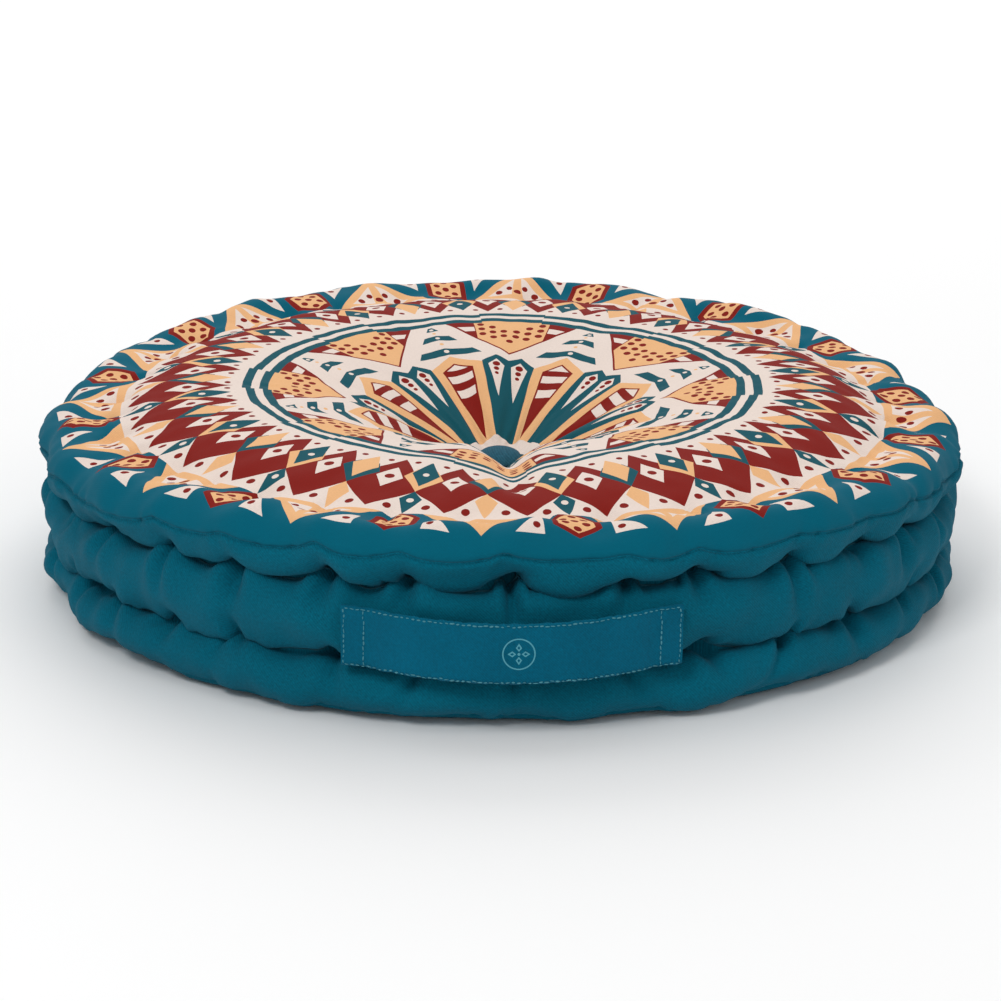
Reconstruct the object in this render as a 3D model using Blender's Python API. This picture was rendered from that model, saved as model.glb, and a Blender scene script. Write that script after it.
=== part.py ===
"""Round tufted floor cushion with edge rolls, a centre button and a carry strap.

Metres, +Z up. The origin is the centre of the bounding box, on the floor. The strap is at the
front, on the -Y side, so the cushion's own axis stands a little behind the origin.
"""
from math import asin, cos, degrees, pi, radians, sin, sqrt

import bmesh
import bpy
from mathutils import Matrix, Vector

MM = 0.001

# Cover: heights stack up from the floor, insets are taken off RADIUS
RADIUS = 250 * MM              # to the outside of the upper edge seam
LOWER_ROLL_HEIGHT = 31 * MM    # floor to the lower groove
BELLY_HEIGHT = 40 * MM         # lower groove to upper groove
UPPER_ROLL_HEIGHT = 29 * MM    # upper groove to the top of the upper roll
CROWN_RISE = 5 * MM            # crown of the top above the upper roll
BELLY_INSET = 3 * MM
LOWER_ROLL_INSET = 8 * MM
GROOVE_DEPTH = 14 * MM         # from the belly in to the floor of each side groove
RING_GROOVE_INSET = 40 * MM    # the ring stitched into the top
RING_GROOVE_DEPTH = 5 * MM     # below the top of the upper roll
CLOTH = 1.2 * MM               # cotton with its lining
GAP = 0.3 * MM                 # between pieces that touch
SEAM_WIDTH = 1.6 * MM          # seam allowance that shows between two panels
SEAM_PROUD = 0.6 * MM          # how far the upper seam stands out of the roll
SEAM_DROP = 12 * MM            # upper edge seam below the top of the upper roll
LOWER_SEAM_HEIGHT = 5 * MM     # lower edge seam above the floor

# Tuft
DIMPLE_DEPTH = 46 * MM         # crown down to the cloth under the top button
DIMPLE_RADIUS = 185 * MM       # where the dimple runs out into the crown
DIMPLE_POWER = 2.3             # 1 is a straight cone, 2 a parabola
BASE_DIMPLE_DEPTH = 12 * MM
BASE_DIMPLE_RADIUS = 60 * MM
BUTTON_RADIUS = 12.5 * MM
BUTTON_HEIGHT = 8 * MM
BUTTON_CLOTH = 0.9 * MM
BUTTON_SHELL = 0.9 * MM
BUTTON_BACK = 1.8 * MM
BUTTON_LIP = 2.2 * MM          # cloth turned under the button's rim
TWINE_RADIUS = 1.5 * MM
KNOT_RADIUS = 3 * MM
KNOT_HEIGHT = 1.5 * MM
ROLL_TWINE_RADIUS = 0.8 * MM

# Strap
STRAP_WIDTH = 31 * MM
STRAP_HALF_SPAN = 70 * MM      # half the distance between the two sewn-down ends
STRAP_BOW = 20 * MM            # the middle stands this far in front of those ends
STRAP_SAG = 1 * MM             # and hangs this far below them
STRAP_DROP = 4 * MM            # strap's centre below the belly's centre
LEAD_LENGTH = 8 * MM           # flexible stretch between a sewn-down end and the grip
TAB_LENGTH = 12 * MM
TAB_THICKNESS = 3.6 * MM       # the strap's end is turned under
GRIP_THICKNESS = 2.6 * MM
GRIP_CLOTH = 0.6 * MM          # each face of the folded sleeve
THREAD = 0.4 * MM              # how far a thread line stands out
THREAD_WIDTH = 0.9 * MM
THREAD_INSET = 1.6 * MM        # thread line in from the strap's edges

# Fineness
SEGMENTS = 40                  # round the cover
BUTTON_SEGMENTS = 16
GRIP_STATIONS = 16             # sections along the grip

TEAL = (0.004, 0.120, 0.180)
TEAL_STRAP = (0.004, 0.105, 0.165)
IVORY = (0.87, 0.78, 0.70)
PALE_THREAD = (0.16, 0.36, 0.44)
TWINE = (0.05, 0.16, 0.20)
FIBRE = (0.86, 0.84, 0.80)
STEEL = (0.55, 0.56, 0.57)
NYLON = (0.06, 0.06, 0.065)

# Heights and radii that follow from the sizes above
LOWER_GROOVE = LOWER_ROLL_HEIGHT
UPPER_GROOVE = LOWER_GROOVE + BELLY_HEIGHT
ROLL_TOP = UPPER_GROOVE + UPPER_ROLL_HEIGHT
CROWN = ROLL_TOP + CROWN_RISE
EDGE_SEAM = ROLL_TOP - SEAM_DROP
BELLY_CENTRE = (LOWER_GROOVE + UPPER_GROOVE) / 2
BELLY_RADIUS = RADIUS - BELLY_INSET
UPPER_RADIUS = RADIUS - SEAM_PROUD
LOWER_RADIUS = RADIUS - LOWER_ROLL_INSET
GROOVE_RADIUS = BELLY_RADIUS - GROOVE_DEPTH
GROOVE_HALF = ROLL_TWINE_RADIUS + GAP      # half the height of a groove's floor
RING_GROOVE = RADIUS - RING_GROOVE_INSET
SEAM_HALF = SEAM_WIDTH / 2 + GAP           # half the slit that a seam fills
TWINE_HOLE = TWINE_RADIUS + GAP
DIMPLE_FLOOR = CROWN - DIMPLE_DEPTH
STRAP_HEIGHT = BELLY_CENTRE - STRAP_DROP
GRIP_HALF_SPAN = STRAP_HALF_SPAN - LEAD_LENGTH


def make_material(name, colour, roughness, metallic=0.0):
    """A Principled material of one colour."""
    material = bpy.data.materials.new(name)
    material.use_nodes = True
    shader = material.node_tree.nodes["Principled BSDF"]
    shader.inputs["Base Color"].default_value = (*colour, 1.0)
    shader.inputs["Roughness"].default_value = roughness
    shader.inputs["Metallic"].default_value = metallic
    return material


def finish_piece(name, shape, material, parent, origin=(0, 0, 0)):
    """Puts a bmesh in the scene as one named piece, with its origin at a point of its parent."""
    bmesh.ops.remove_doubles(shape, verts=shape.verts, dist=0.001 * MM)
    bmesh.ops.dissolve_degenerate(shape, edges=shape.edges, dist=0.001 * MM)
    bmesh.ops.recalc_face_normals(shape, faces=shape.faces)
    shape.transform(Matrix.Translation(-Vector(origin)))
    mesh = bpy.data.meshes.new(name)
    shape.to_mesh(mesh)
    shape.free()
    mesh.materials.append(material)
    mesh.shade_smooth()
    mesh.set_sharp_from_angle(angle=radians(40))
    piece = bpy.data.objects.new(name, mesh)
    bpy.context.scene.collection.objects.link(piece)
    piece.parent = parent
    return piece


# ---------------------------------------------------------------- outlines, as (r, z) points

def arc(centre, radii, start, end, steps):
    """Points along an ellipse from one angle to another, in degrees, both ends included."""
    angles = [radians(start + (end - start) * step / steps) for step in range(steps + 1)]
    return [(centre[0] + radii[0] * cos(a), centre[1] + radii[1] * sin(a)) for a in angles]


def inset(line, depth):
    """The line moved to its right-hand side, which is into the cushion."""
    points = [Vector(point) for point in line]
    moved = []
    for index, point in enumerate(points):
        before = points[max(index - 1, 0)]
        after = points[min(index + 1, len(points) - 1)]
        along = (after - before).normalized()
        moved.append(tuple(point + Vector((along.y, -along.x)) * depth))
    return moved


def top_line():
    """Top panel, from the twine's hole out through the dimple and over the upper roll."""
    line = [(TWINE_HOLE, DIMPLE_FLOOR)]
    steps = 5
    for step in range(steps + 1):
        share = step / steps
        radius = BUTTON_RADIUS + share * (DIMPLE_RADIUS - BUTTON_RADIUS)
        line.append((radius, CROWN - DIMPLE_DEPTH * (1 - share) ** DIMPLE_POWER))
    ring_floor = ROLL_TOP - RING_GROOVE_DEPTH
    middle = (DIMPLE_RADIUS + RING_GROOVE) / 2
    line += [(middle, (CROWN + ring_floor) / 2), (RING_GROOVE, ring_floor)]
    half_width = (UPPER_RADIUS - RING_GROOVE) / 2
    start = 180 - degrees(asin((ring_floor - EDGE_SEAM) / SEAM_DROP))
    end = degrees(asin(SEAM_HALF / SEAM_DROP))
    return line + arc((UPPER_RADIUS - half_width, EDGE_SEAM), (half_width, SEAM_DROP), start, end, 6)


def lower_roll_angle(height):
    """Where the lower roll's outer face passes a height, in degrees below its widest point."""
    return degrees(asin(1 - height / lower_roll_middle()))


def lower_roll_middle():
    """Height of the lower roll's widest point."""
    return 0.55 * LOWER_ROLL_HEIGHT


def lower_roll_arc(start, end, steps):
    """Part of the lower roll's outer face; it meets the floor at 90 degrees."""
    middle = lower_roll_middle()
    radii = (LOWER_RADIUS - GROOVE_RADIUS, middle)
    return arc((GROOVE_RADIUS, middle), radii, -start, -end, steps)


def band_line():
    """Side band, from the edge seam down over upper groove, belly, lower groove and roll."""
    overhang = (UPPER_RADIUS - GROOVE_RADIUS, EDGE_SEAM - SEAM_HALF - UPPER_GROOVE - GROOVE_HALF)
    belly = (GROOVE_DEPTH, BELLY_HEIGHT / 2 - GROOVE_HALF)
    middle = lower_roll_middle()
    lower = (LOWER_RADIUS - GROOVE_RADIUS, LOWER_GROOVE - GROOVE_HALF - middle)
    return [
        *arc((GROOVE_RADIUS, EDGE_SEAM - SEAM_HALF), overhang, 0, -90, 4),
        *arc((GROOVE_RADIUS, BELLY_CENTRE), belly, 90, -90, 8),
        *arc((GROOVE_RADIUS, middle), lower, 90, 0, 3),
        *lower_roll_arc(0, lower_roll_angle(LOWER_SEAM_HEIGHT + SEAM_HALF), 3)[1:],
    ]


def base_line():
    """Base panel, from the lower seam in over the flat that it rests on and into its dimple."""
    line = lower_roll_arc(lower_roll_angle(LOWER_SEAM_HEIGHT - SEAM_HALF), 90, 3)
    steps = 4
    for step in range(steps + 1):
        share = step / steps
        radius = BASE_DIMPLE_RADIUS + share * (BUTTON_RADIUS - BASE_DIMPLE_RADIUS)
        line.append((radius, BASE_DIMPLE_DEPTH * (1 - cos(pi * share)) / 2))
    return [*line, (TWINE_HOLE, BASE_DIMPLE_DEPTH)]


# ---------------------------------------------------------------- shapes

def turn(outline, segments):
    """A closed outline spun once round the Z axis."""
    shape = bmesh.new()
    verts = [shape.verts.new((r, 0, z)) for r, z in outline]
    edges = [shape.edges.new((a, b)) for a, b in zip(verts, verts[1:] + verts[:1])]
    bmesh.ops.spin(shape, geom=verts + edges, cent=(0, 0, 0), axis=(0, 0, 1),
                   angle=2 * pi, steps=segments, use_merge=True)
    return shape


def ring(radius, height, section):
    """A closed outline for a ring of round section."""
    sides = 6
    return arc((radius, height), (section, section), 0, 360 * (1 - 1 / sides), sides - 1)


def bridge(shape, loops):
    """Joins closed loops of vertices with faces, one loop to the next."""
    for first, second in zip(loops, loops[1:]):
        for index in range(len(first)):
            after = (index + 1) % len(first)
            shape.faces.new((first[index], first[after], second[after], second[index]))


def section(x, back, front, low, high):
    """Corners of a section across the strap; back and front are distances before the axis."""
    return [(x, -back, low), (x, -front, low), (x, -front, high), (x, -back, high)]


def loft(sections):
    """A solid bar through sections along the strap."""
    shape = bmesh.new()
    loops = [[shape.verts.new(corner) for corner in corners] for corners in sections]
    bridge(shape, loops)
    shape.faces.new(loops[0])
    shape.faces.new(loops[-1])
    return shape


def sleeve(outer, inner):
    """A flat tube along the strap, open at both ends."""
    shape = bmesh.new()
    skins = [[[shape.verts.new(corner) for corner in corners] for corners in sections]
             for sections in (outer, inner)]
    for loops in skins:
        bridge(shape, loops)
    for end in (0, -1):
        bridge(shape, [skins[0][end], skins[1][end]])
    return shape


# ---------------------------------------------------------------- cover and filling

def build_cover(cushion, cloth, print_cloth, fibre, seam):
    """Three cloth panels, the two seams that join them and the filling inside."""
    lines = {"top_panel": top_line(), "side_band": band_line(), "base_panel": base_line()}
    for name, line in lines.items():
        outline = [*line, *reversed(inset(line, CLOTH))]
        material = print_cloth if name == "top_panel" else cloth
        finish_piece(name, turn(outline, SEGMENTS), material, cushion)
    core = [point for line in lines.values() for point in inset(line, CLOTH + GAP)]
    finish_piece("fill_core", turn(core, SEGMENTS), fibre, cushion)
    upper = (RADIUS - SEAM_WIDTH / 2, EDGE_SEAM)
    lower = lower_roll_arc(0, lower_roll_angle(LOWER_SEAM_HEIGHT), 1)[-1]
    for name, place in (("upper_edge_seam", upper), ("lower_edge_seam", lower)):
        outline = ring(*place, SEAM_WIDTH / 2)
        finish_piece(name, turn(outline, SEGMENTS), seam, cushion)


def build_roll_twines(cushion, twine):
    """Twine lying on the floor of each side groove, pulled tight against the band."""
    radius = GROOVE_RADIUS + ROLL_TWINE_RADIUS + GAP
    for name, height in (("upper_roll_twine", UPPER_GROOVE), ("lower_roll_twine", LOWER_GROOVE)):
        outline = ring(radius, height, ROLL_TWINE_RADIUS)
        finish_piece(name, turn(outline, SEGMENTS), twine, cushion)


# ---------------------------------------------------------------- tuft

def dome(inward):
    """Half outline of the button's dome, that far inside its outer face, from the axis out."""
    shoulder = 0.22 * BUTTON_HEIGHT
    radii = (BUTTON_RADIUS - inward, BUTTON_HEIGHT - inward - shoulder)
    line = arc((0, shoulder), radii, 90, 0, 4)
    return [(0, line[0][1]), *line[1:]]


def button_outlines():
    """Outlines of the cloth, the shell and the back of one button, standing on z = 0."""
    lip = BUTTON_RADIUS - BUTTON_LIP
    bend = BUTTON_LIP / 3
    cloth = [*dome(0), (BUTTON_RADIUS - bend, 0), (lip, 0), (lip, BUTTON_CLOTH),
             (BUTTON_RADIUS - BUTTON_CLOTH, BUTTON_CLOTH), *reversed(dome(BUTTON_CLOTH))]
    outer = dome(BUTTON_CLOTH + GAP)
    inner = dome(BUTTON_CLOTH + GAP + BUTTON_SHELL)
    rim = BUTTON_CLOTH + GAP
    shell = [*outer, (outer[-1][0], rim), (inner[-1][0], rim), *reversed(inner)]
    back_radius = min(lip, inner[-1][0]) - GAP
    back = [(TWINE_HOLE, GAP), (back_radius, GAP), (back_radius, GAP + BUTTON_BACK),
            (TWINE_HOLE, GAP + BUTTON_BACK)]
    return {"cover": cloth, "shell": shell, "back": back}


def build_tuft(cushion, materials, twine):
    """A covered button on the top and one underneath, tied to each other."""
    upper = DIMPLE_FLOOR + GAP
    lower = BASE_DIMPLE_DEPTH - GAP
    for side, height, sign in (("top", upper, 1), ("base", lower, -1)):
        for part, outline in button_outlines().items():
            placed = [(r, height + sign * z) for r, z in outline]
            shape = turn(placed, BUTTON_SEGMENTS)
            finish_piece(f"{side}_button_{part}", shape, materials[part], cushion)
    knot = GAP + BUTTON_BACK + GAP
    high, low = upper + knot, lower - knot
    outline = [(0, high + KNOT_HEIGHT), (KNOT_RADIUS, high + KNOT_HEIGHT), (KNOT_RADIUS, high),
               (TWINE_RADIUS, high), (TWINE_RADIUS, low), (KNOT_RADIUS, low),
               (KNOT_RADIUS, low - KNOT_HEIGHT), (0, low - KNOT_HEIGHT)]
    finish_piece("tuft_twine", turn(outline, BUTTON_SEGMENTS), twine, cushion)


# ---------------------------------------------------------------- strap

def tab_back(x):
    """How far in front of the cushion's axis the back of a sewn-down end lies at x."""
    half = STRAP_WIDTH / 2
    seat = max(r for r, z in band_line() if abs(z - STRAP_HEIGHT) <= half)
    return sqrt((seat + GAP) ** 2 - x**2)


def strap_front(x):
    """How far in front of the cushion's axis the free strap's outer face lies at x."""
    ends = tab_back(STRAP_HALF_SPAN) + TAB_THICKNESS
    return ends + STRAP_BOW * (1 - (x / STRAP_HALF_SPAN) ** 2)


def strap_middle(x):
    """Height of the free strap's centre line at x."""
    return STRAP_HEIGHT - STRAP_SAG * (1 - (x / STRAP_HALF_SPAN) ** 2)


def strap_sections(places, depth=0.0):
    """Sections of the free strap, that far in from its faces and edges."""
    half = STRAP_WIDTH / 2 - depth
    return [section(x, strap_front(x) - GRIP_THICKNESS + depth, strap_front(x) - depth,
                    strap_middle(x) - half, strap_middle(x) + half) for x in places]


def thread_sections(places, offset):
    """Sections of a thread line on the strap's outer face, offset from its centre line."""
    half = THREAD_WIDTH / 2
    return [section(x, strap_front(x) + GAP, strap_front(x) + GAP + THREAD,
                    strap_middle(x) + offset - half, strap_middle(x) + offset + half)
            for x in places]


def build_grip(cushion, cloth, webbing, thread):
    """The strap's free span, which turns about the line through its two ends."""
    turning = (0, GRIP_THICKNESS / 2 - strap_front(GRIP_HALF_SPAN), strap_middle(GRIP_HALF_SPAN))
    pivot = bpy.data.objects.new("strap_pivot", None)
    bpy.context.scene.collection.objects.link(pivot)
    pivot.location = turning
    pivot.parent = cushion
    places = [GRIP_HALF_SPAN * (2 * step / GRIP_STATIONS - 1) for step in range(GRIP_STATIONS + 1)]
    shapes = {
        "strap_grip": (sleeve(strap_sections(places), strap_sections(places, GRIP_CLOTH)), cloth),
        "strap_stiffener": (loft(strap_sections(places, GRIP_CLOTH + GAP)), webbing),
    }
    line = STRAP_WIDTH / 2 - THREAD_INSET
    for side, offset in (("upper", line), ("lower", -line)):
        shapes[f"grip_stitching_{side}"] = (loft(thread_sections(places, offset)), thread)
    for name, (shape, material) in shapes.items():
        finish_piece(name, shape, material, pivot, turning)


def build_tab(side, cushion, cloth, thread):
    """One end of the strap: sewn flat to the band, with its lead and its box of stitching."""
    name = "left" if side < 0 else "right"
    half = STRAP_WIDTH / 2
    sewn = [STRAP_HALF_SPAN + TAB_LENGTH * share for share in (1, 0.5, 0)]
    sections = [section(side * x, tab_back(x), tab_back(x) + TAB_THICKNESS,
                        STRAP_HEIGHT - half, STRAP_HEIGHT + half) for x in sewn]
    lead = [STRAP_HALF_SPAN - LEAD_LENGTH * share for share in (0.1, 0.5)]
    lead.append(GRIP_HALF_SPAN + GAP)
    sections += strap_sections([side * x for x in lead])
    finish_piece(f"strap_tab_{name}", loft(sections), cloth, cushion)

    near, far = STRAP_HALF_SPAN + THREAD_INSET, STRAP_HALF_SPAN + TAB_LENGTH - THREAD_INSET
    line = half - THREAD_INSET
    shape = bmesh.new()
    loops = []
    for proud, inward in ((GAP, 0), (GAP + THREAD, 0), (GAP + THREAD, THREAD_WIDTH),
                          (GAP, THREAD_WIDTH)):
        low, high, bottom, top = near + inward, far - inward, inward - line, line - inward
        corners = [(low, bottom), (high, bottom), (high, top), (low, top)]
        loops.append([shape.verts.new((side * x, -tab_back(x) - TAB_THICKNESS - proud,
                                       STRAP_HEIGHT + z)) for x, z in corners])
    bridge(shape, [*loops, loops[0]])
    finish_piece(f"tab_stitching_{name}", shape, thread, cushion)


def main():
    """Clears the scene and builds the cushion."""
    for old in list(bpy.data.objects):
        bpy.data.objects.remove(old)
    cushion = bpy.data.objects.new("cushion_frame", None)
    bpy.context.scene.collection.objects.link(cushion)
    cushion.location.y = (strap_front(0) + GAP + THREAD - RADIUS) / 2

    cloth = make_material("teal_cotton", TEAL, 0.85)
    print_cloth = make_material("printed_cotton", IVORY, 0.85)
    strap_cloth = make_material("strap_cotton", TEAL_STRAP, 0.8)
    seam = make_material("seam_cotton", TEAL, 0.9)
    fibre = make_material("fibre_filling", FIBRE, 0.95)
    twine = make_material("tuft_twine", TWINE, 0.8)
    thread = make_material("pale_thread", PALE_THREAD, 0.7)
    steel = make_material("button_steel", STEEL, 0.35, 1.0)
    nylon = make_material("black_nylon", NYLON, 0.6)

    build_cover(cushion, cloth, print_cloth, fibre, seam)
    build_roll_twines(cushion, twine)
    build_tuft(cushion, {"cover": cloth, "shell": steel, "back": nylon}, twine)
    build_grip(cushion, strap_cloth, nylon, thread)
    for side in (-1, 1):
        build_tab(side, cushion, strap_cloth, thread)


main()
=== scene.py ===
"""Round tufted floor cushion: printed cotton top, teal cotton band in three rolls, a centre
button pulled down into the filling, and a carry strap on the front.

Metres, in the frame's own axes: +Z up, the strap on the -Y side.
"""

from contextlib import contextmanager
from functools import reduce
from math import cos, pi, radians, sin, sqrt

import bpy
import numpy as np
from mathutils import Matrix, Vector


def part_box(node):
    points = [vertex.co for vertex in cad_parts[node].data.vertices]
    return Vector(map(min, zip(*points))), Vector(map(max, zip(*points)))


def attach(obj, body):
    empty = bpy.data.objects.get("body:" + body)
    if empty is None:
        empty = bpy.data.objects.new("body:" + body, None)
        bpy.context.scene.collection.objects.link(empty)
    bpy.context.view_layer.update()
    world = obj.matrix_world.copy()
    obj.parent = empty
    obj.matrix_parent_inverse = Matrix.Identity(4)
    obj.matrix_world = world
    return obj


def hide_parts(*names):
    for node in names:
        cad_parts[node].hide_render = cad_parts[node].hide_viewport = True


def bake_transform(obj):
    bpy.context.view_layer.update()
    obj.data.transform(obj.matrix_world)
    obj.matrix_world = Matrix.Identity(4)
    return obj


MM = 0.001
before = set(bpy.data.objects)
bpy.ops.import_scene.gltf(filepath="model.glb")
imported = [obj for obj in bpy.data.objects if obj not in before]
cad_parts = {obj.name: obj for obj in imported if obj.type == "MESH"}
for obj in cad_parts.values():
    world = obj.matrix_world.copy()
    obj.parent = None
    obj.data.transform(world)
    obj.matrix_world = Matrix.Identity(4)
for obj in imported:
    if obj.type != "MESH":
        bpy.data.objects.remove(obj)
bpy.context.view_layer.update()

# ---------------------------------------------------------------- places, from the frame


def middle(node):
    """Centre of a node's box."""
    low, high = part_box(node)
    return (low + high) / 2


AXIS_Y = middle("side_band").y                 # the round cushion's own axis
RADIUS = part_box("upper_edge_seam")[1].x
SEAM_HEIGHT = middle("upper_edge_seam").z
LOWER_SEAM_HEIGHT = middle("lower_edge_seam").z
UPPER_GROOVE = middle("upper_roll_twine").z
LOWER_GROOVE = middle("lower_roll_twine").z
GROOVE_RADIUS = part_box("upper_roll_twine")[1].x - 1.9 * MM
BUTTON_LOW, BUTTON_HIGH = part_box("top_button_cover")
BASE_BUTTON_LOW, BASE_BUTTON_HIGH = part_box("base_button_cover")
BUTTON_RADIUS = BUTTON_HIGH.x
TAB_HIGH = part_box("strap_tab_right")[1]
GRIP_LOW, GRIP_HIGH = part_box("strap_grip")

# ---------------------------------------------------------------- sizes of the sewn cover
CLOTH = 1.0 * MM               # thickness of a panel
TURN = radians(1) * RADIUS     # one degree along the side
TURNS = 288                    # columns of the cover, round the axis
RING_RADIUS = 209.5 * MM       # of the ring stitched into the top
ROLL_CREST = 234 * MM          # radius of the upper roll's highest line
ROW = 4.4 * MM                 # distance between rows along the cover's outline
SEAM_TUBE = 0.6 * MM           # radius of the ridge along an edge seam
TWINE_TUBE = 0.6 * MM
STITCHES = 32                  # round each side groove
RING_STITCHES = 36             # round the ring in the top
STITCH_PULL = 5.0 * MM
FIRST_STITCH = 0.3             # degrees from the front, towards +X
PRINT_TURN = -3.9              # degrees, the print's own turn on the cushion
PRINT_OFFSET = 1.5 * MM        # sideways, from the cushion's axis
VALLEY_ANGLE = 1.2             # the crease that runs from the button to the front
FILLING_INSET = 6.5 * MM       # filling below the cloth, clear of every fold
BAND_INSET = 9 * MM            # and that much further in behind the band
FLANK_DROP = 14 * MM           # how much lower the rim has settled at both sides
VALLEY_DEPTH = 12 * MM
SLACK = 1.03                   # the cloth is cut that much larger than the filled shape
CLOTH_TRAVEL = 7 * MM          # furthest that filling may push a point
FILL_FRAMES = 16

# ---------------------------------------------------------------- sizes of the strap
STRAP_WIDTH = 31 * MM
STRAP_THICKNESS = 2.6 * MM
TAB_THICKNESS = 3.6 * MM
SEWN_FROM = 70 * MM            # half the distance between the two sewn-down ends
SEWN_TO = TAB_HIGH.x
FREE_TO = GRIP_HIGH.x          # the grip's half length
GRIP_FRONT = AXIS_Y - GRIP_LOW.y
GRIP_END_FRONT = AXIS_Y - GRIP_HIGH.y + STRAP_THICKNESS
GRIP_HEIGHT = GRIP_LOW.z + STRAP_WIDTH / 2
GRIP_END_HEIGHT = GRIP_HIGH.z - STRAP_WIDTH / 2
SEAT = sqrt((AXIS_Y - TAB_HIGH.y) ** 2 + SEWN_TO**2)     # radius of the band behind the tabs
THREAD_INSET = 1.3 * MM
STITCH_LENGTH = 2.5 * MM
STITCH_PITCH = 2.65 * MM
RIPPLE = 5.73                  # degrees of the edge's small waves for each millimetre
EMBLEM_X = 2.5 * MM
EMBLEM_HEIGHT = GRIP_HEIGHT + 0.4 * MM
EMBLEM_RADIUS = 7.6 * MM

# Camera
VIEW_DISTANCE = 1.75
VIEW_ELEVATION = 18.3
VIEW_TURN = -1.7               # degrees from straight in front, towards +X
VIEW_ROLL = 0.5
LENS = 114.3
AIM_HEIGHT = 36.6 * MM

# ---------------------------------------------------------------- colours
TEAL = (0.0, 0.112, 0.173)
TEAL_STRAP = (0.0, 0.101, 0.172)
PRINT_TEAL = (0.008, 0.088, 0.116)
IVORY = (0.80, 0.68, 0.61)
PEACH = (0.82, 0.46, 0.22)
RED = (0.225, 0.012, 0.008)
PALE_THREAD = (0.10, 0.36, 0.44)
BUTTON_TEAL = (0.022, 0.100, 0.150)
FIBRE = (0.86, 0.84, 0.80)
STEEL = (0.55, 0.56, 0.57)
NYLON = (0.05, 0.05, 0.055)
TWINE = (0.02, 0.10, 0.14)
COTTON_SHEEN = {"Sheen Weight": 0.03, "Sheen Roughness": 0.5, "Specular IOR Level": 0.06}


# ---------------------------------------------------------------- shader sums


def sums(operation, swapped=False):
    """An operator on wires, which adds one Math node."""
    if swapped:
        return lambda self, other: self.board.math(operation, other, self)
    return lambda self, *others: self.board.math(operation, self, *others)


class Wire:
    """A shader socket. Sums on wires add Math nodes."""

    def __init__(self, board, socket):
        self.board = board
        self.socket = socket

    __add__ = __radd__ = sums("ADD")
    __sub__ = sums("SUBTRACT")
    __rsub__ = sums("SUBTRACT", swapped=True)
    __mul__ = __rmul__ = __and__ = sums("MULTIPLY")
    __truediv__ = sums("DIVIDE")
    __gt__ = sums("GREATER_THAN")
    __lt__ = sums("LESS_THAN")
    __or__ = sums("MAXIMUM")
    __abs__ = sums("ABSOLUTE")


class Board:
    """One material's node tree."""

    def __init__(self, name):
        self.material = bpy.data.materials.new(name)
        self.material.use_nodes = True
        self.nodes = self.material.node_tree.nodes
        self.links = self.material.node_tree.links
        self.shader = self.nodes["Principled BSDF"]

    def feed(self, socket, value):
        if isinstance(value, Wire):
            self.links.new(value.socket, socket)
        elif isinstance(value, tuple) and len(value) == 3 and socket.type == "RGBA":
            socket.default_value = (*value, 1.0)
        else:
            socket.default_value = value

    def add(self, kind, settings, sockets, output=0):
        """A node with its settings and the values or wires of its sockets."""
        node = self.nodes.new(kind)
        for key, value in settings.items():
            setattr(node, key, value)
        for key, value in sockets.items():
            self.feed(node.inputs[key], value)
        return Wire(self, node.outputs[output])

    def math(self, operation, *values):
        return self.add("ShaderNodeMath", {"operation": operation}, dict(enumerate(values)))

    def lowest(self, wires):
        return reduce(lambda one, other: self.math("MINIMUM", one, other), wires)

    def highest(self, wires):
        return reduce(lambda one, other: self.math("MAXIMUM", one, other), wires)

    def mix(self, mask, under, over):
        """Colour over shows where the mask is 1."""
        return self.add("ShaderNodeMix", {"data_type": "RGBA"}, {0: mask, 6: under, 7: over}, 2)

    def place(self, name):
        """The three numbers of a piece's own attribute."""
        attribute = self.add("ShaderNodeAttribute", {"attribute_name": name}, {}, 1)
        return self.split(attribute)

    def split(self, vector):
        node = self.nodes.new("ShaderNodeSeparateXYZ")
        self.links.new(vector.socket, node.inputs[0])
        return [Wire(self, node.outputs[axis]) for axis in range(3)]

    def join(self, x, y, z):
        return self.add("ShaderNodeCombineXYZ", {}, {0: x, 1: y, 2: z})

    def object_place(self):
        return self.add("ShaderNodeTexCoord", {}, {}, 3)

    def noise(self, vector, scale, detail=2.0, roughness=0.5):
        sockets = {"Vector": vector, "Scale": scale, "Detail": detail, "Roughness": roughness}
        return self.add("ShaderNodeTexNoise", {}, sockets)

    def rib(self, wire):
        """An even wave from 0 to 1."""
        return self.math("SINE", wire) * 0.5 + 0.5

    def bump(self, height, distance, strength=1.0):
        sockets = {"Height": height, "Distance": distance, "Strength": strength}
        return self.add("ShaderNodeBump", {}, sockets)

    def finish(self, colour, roughness, normal=None, constants=()):
        """Sets the Principled shader; constants go straight on its sockets."""
        self.feed(self.shader.inputs["Base Color"], colour)
        self.feed(self.shader.inputs["Roughness"], roughness)
        if normal is not None:
            self.feed(self.shader.inputs["Normal"], normal)
        for key, value in dict(constants).items():
            self.feed(self.shader.inputs[key], value)
        return self.material


# ---------------------------------------------------------------- the printed pattern


def beside(board, u, v, start, end):
    """Distance to the left of the line from start to end."""
    along = Vector(end) - Vector(start)
    along.normalize()
    a, b = -along.y, along.x
    c = -(a * start[0] + b * start[1])
    return board.math("MULTIPLY_ADD", u, a, board.math("MULTIPLY_ADD", v, b, c))


def inside(board, u, v, corners):
    """Distance inside a shape, from its right-hand corners, bottom to top."""
    return board.lowest(beside(board, u, v, a, b) for a, b in zip(corners, corners[1:]))


def disc(board, u, v, centre, radius):
    """1 inside a dot."""
    across, along = u - centre[0], v - centre[1]
    return board.math("MULTIPLY_ADD", across, across, along * along) < radius**2


def discs(board, u, v, dots):
    return board.highest(disc(board, u, v, centre, radius) for centre, radius in dots)


def between(wire, low, high):
    return (wire > low) & (wire < high)


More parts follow.
